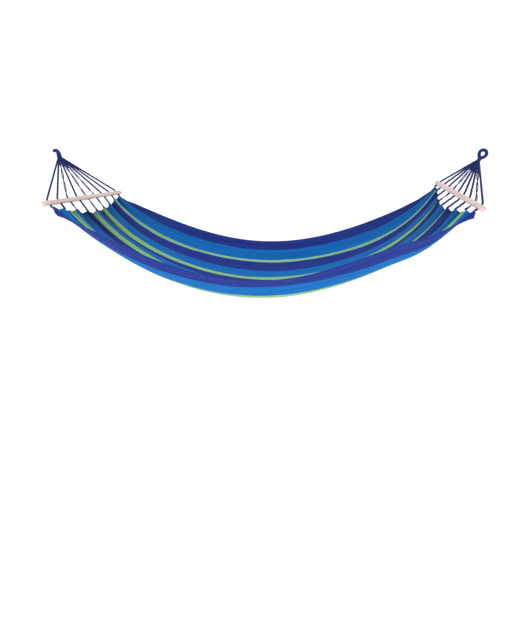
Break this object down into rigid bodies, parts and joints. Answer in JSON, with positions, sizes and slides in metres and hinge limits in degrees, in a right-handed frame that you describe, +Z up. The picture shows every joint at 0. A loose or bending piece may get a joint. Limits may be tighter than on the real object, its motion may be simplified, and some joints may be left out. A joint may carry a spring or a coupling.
{
  "type": "hammock with spreader bars",
  "caption": "Striped cloth hammock with wooden spreader bars, fanned rope clews and a served rope hanging eye at each end.",
  "frame": {"origin": "where the left hook bears, inside the left hanging eye", "axes": "+X from the left hook to the right one, +Y across the bed, +Z up"},
  "size_m": [2.2985, 0.8, 0.7545],
  "materials": {
    "striped_cloth": "woven cotton",
    "clew_cord": "twisted cotton cord",
    "serving_cord": "wrapped cotton cord",
    "bar_wood": "plain sanded"
  },
  "bodies": {
    "hanging_eyes": {"left_eye_core": "clew_cord", "left_eye_serving": "serving_cord", "right_eye_core": "clew_cord", "right_eye_serving": "serving_cord"},
    "sling": {"left_neck_whipping": "serving_cord", "left_clew_cord_1": "clew_cord", "left_clew_cord_2": "clew_cord", "left_clew_cord_3": "clew_cord", "left_clew_cord_4": "clew_cord", "left_clew_cord_5": "clew_cord", "left_clew_cord_6": "clew_cord", "left_clew_cord_7": "clew_cord", "left_clew_cord_8": "clew_cord", "left_clew_cord_9": "clew_cord", "right_neck_whipping": "serving_cord", "right_clew_cord_1": "clew_cord", "right_clew_cord_2": "clew_cord", "right_clew_cord_3": "clew_cord", "right_clew_cord_4": "clew_cord", "right_clew_cord_5": "clew_cord", "right_clew_cord_6": "clew_cord", "right_clew_cord_7": "clew_cord", "right_clew_cord_8": "clew_cord", "right_clew_cord_9": "clew_cord", "bed_cloth": "striped_cloth"},
    "left_bar": {"left_spreader_bar": "bar_wood"},
    "right_bar": {"right_spreader_bar": "bar_wood"}
  },
  "joints": [
    {"name": "swing", "type": "hinge", "parent": "hanging_eyes", "child": "sling", "pos_m": [0.02488, 0, -0.0468], "axis": [1, 0, 0], "range_deg": [-35, 35]},
    {"name": "left_bar_tilt", "type": "hinge", "parent": "sling", "child": "left_bar", "pos_m": [0.15588, 0, -0.2518], "axis": [1, 0, 0], "range_deg": [-8, 8], "stiffness_Nm_per_rad": 0.5, "deforming": ["left_clew_cord_1", "left_clew_cord_2", "left_clew_cord_3", "left_clew_cord_4", "left_clew_cord_5", "left_clew_cord_6", "left_clew_cord_7", "left_clew_cord_8", "left_clew_cord_9"]},
    {"name": "right_bar_tilt", "type": "hinge", "parent": "sling", "child": "right_bar", "pos_m": [2.15588, 0, -0.2078], "axis": [1, 0, 0], "range_deg": [-8, 8], "stiffness_Nm_per_rad": 0.5, "deforming": ["right_clew_cord_1", "right_clew_cord_2", "right_clew_cord_3", "right_clew_cord_4", "right_clew_cord_5", "right_clew_cord_6", "right_clew_cord_7", "right_clew_cord_8", "right_clew_cord_9"]}
  ]
}
